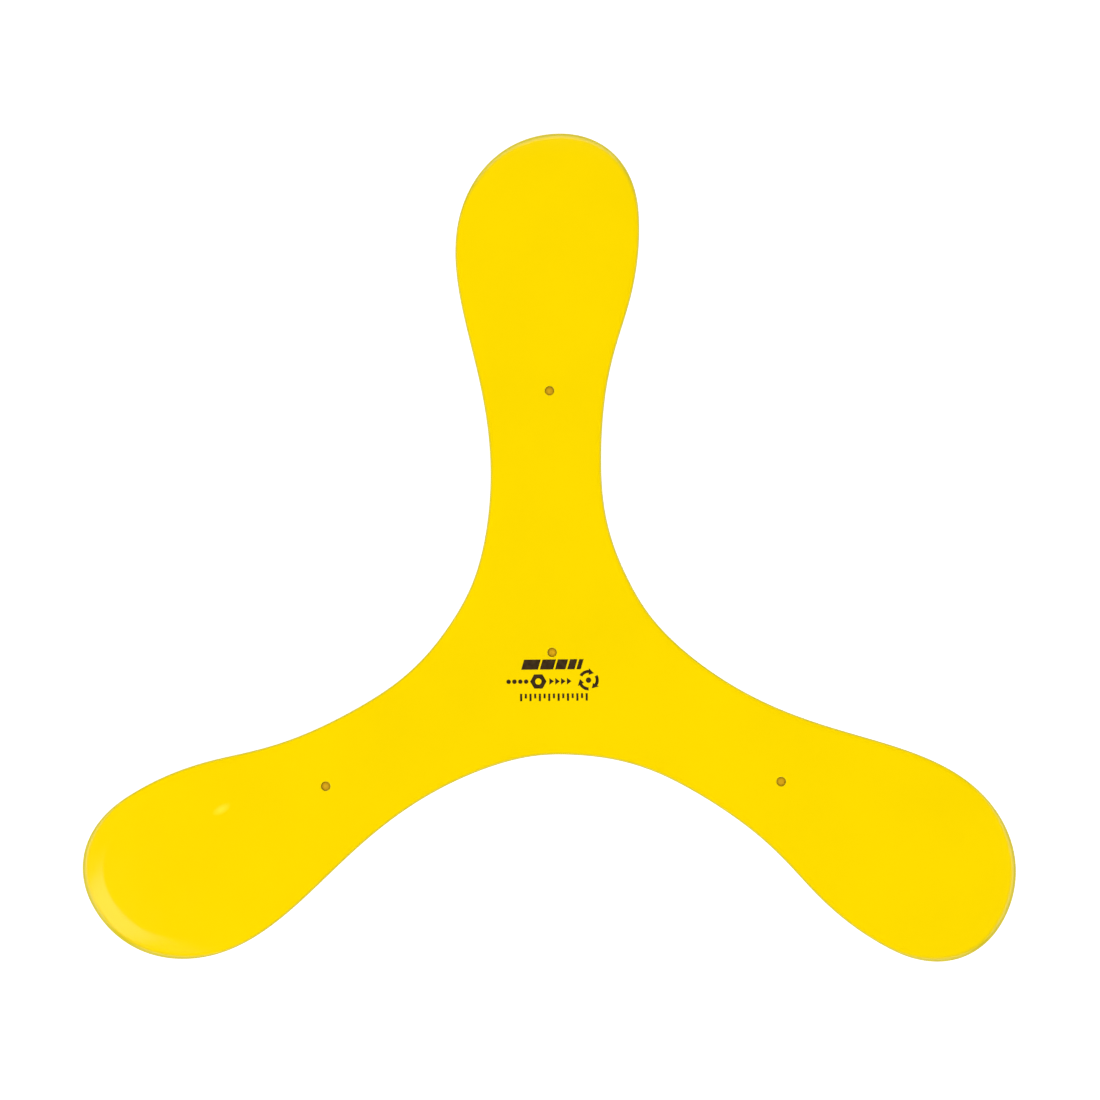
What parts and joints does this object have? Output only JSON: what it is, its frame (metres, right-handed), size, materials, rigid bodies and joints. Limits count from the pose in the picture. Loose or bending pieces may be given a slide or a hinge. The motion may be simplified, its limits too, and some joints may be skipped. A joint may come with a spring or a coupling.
{
  "type": "boomerang",
  "caption": "Blade-and-hub returning boomerang with rounded lobed blades, a flat printed back, a curved aerofoil front and a stiff core between soft skins.",
  "frame": {"origin": "middle of the hub, on the plane that the flat middle of the curved front rests on", "axes": "+Z is the spin axis and points out of the flat printed back; one blade points along +Y, and each blade leads with its clockwise side seen from +Z"},
  "size_m": [0.2789, 0.2501, 0.0048],
  "materials": {
    "yellow_skin": "smooth moulded, satin gloss",
    "yellow_core": "plain moulded",
    "printed_ink": "thin pad-printed ink, satin"
  },
  "bodies": {
    "root": {"flat_back_skin": "yellow_skin", "curved_front_skin": "yellow_skin", "stiffening_core": "yellow_core"}
  },
  "joints": []
}
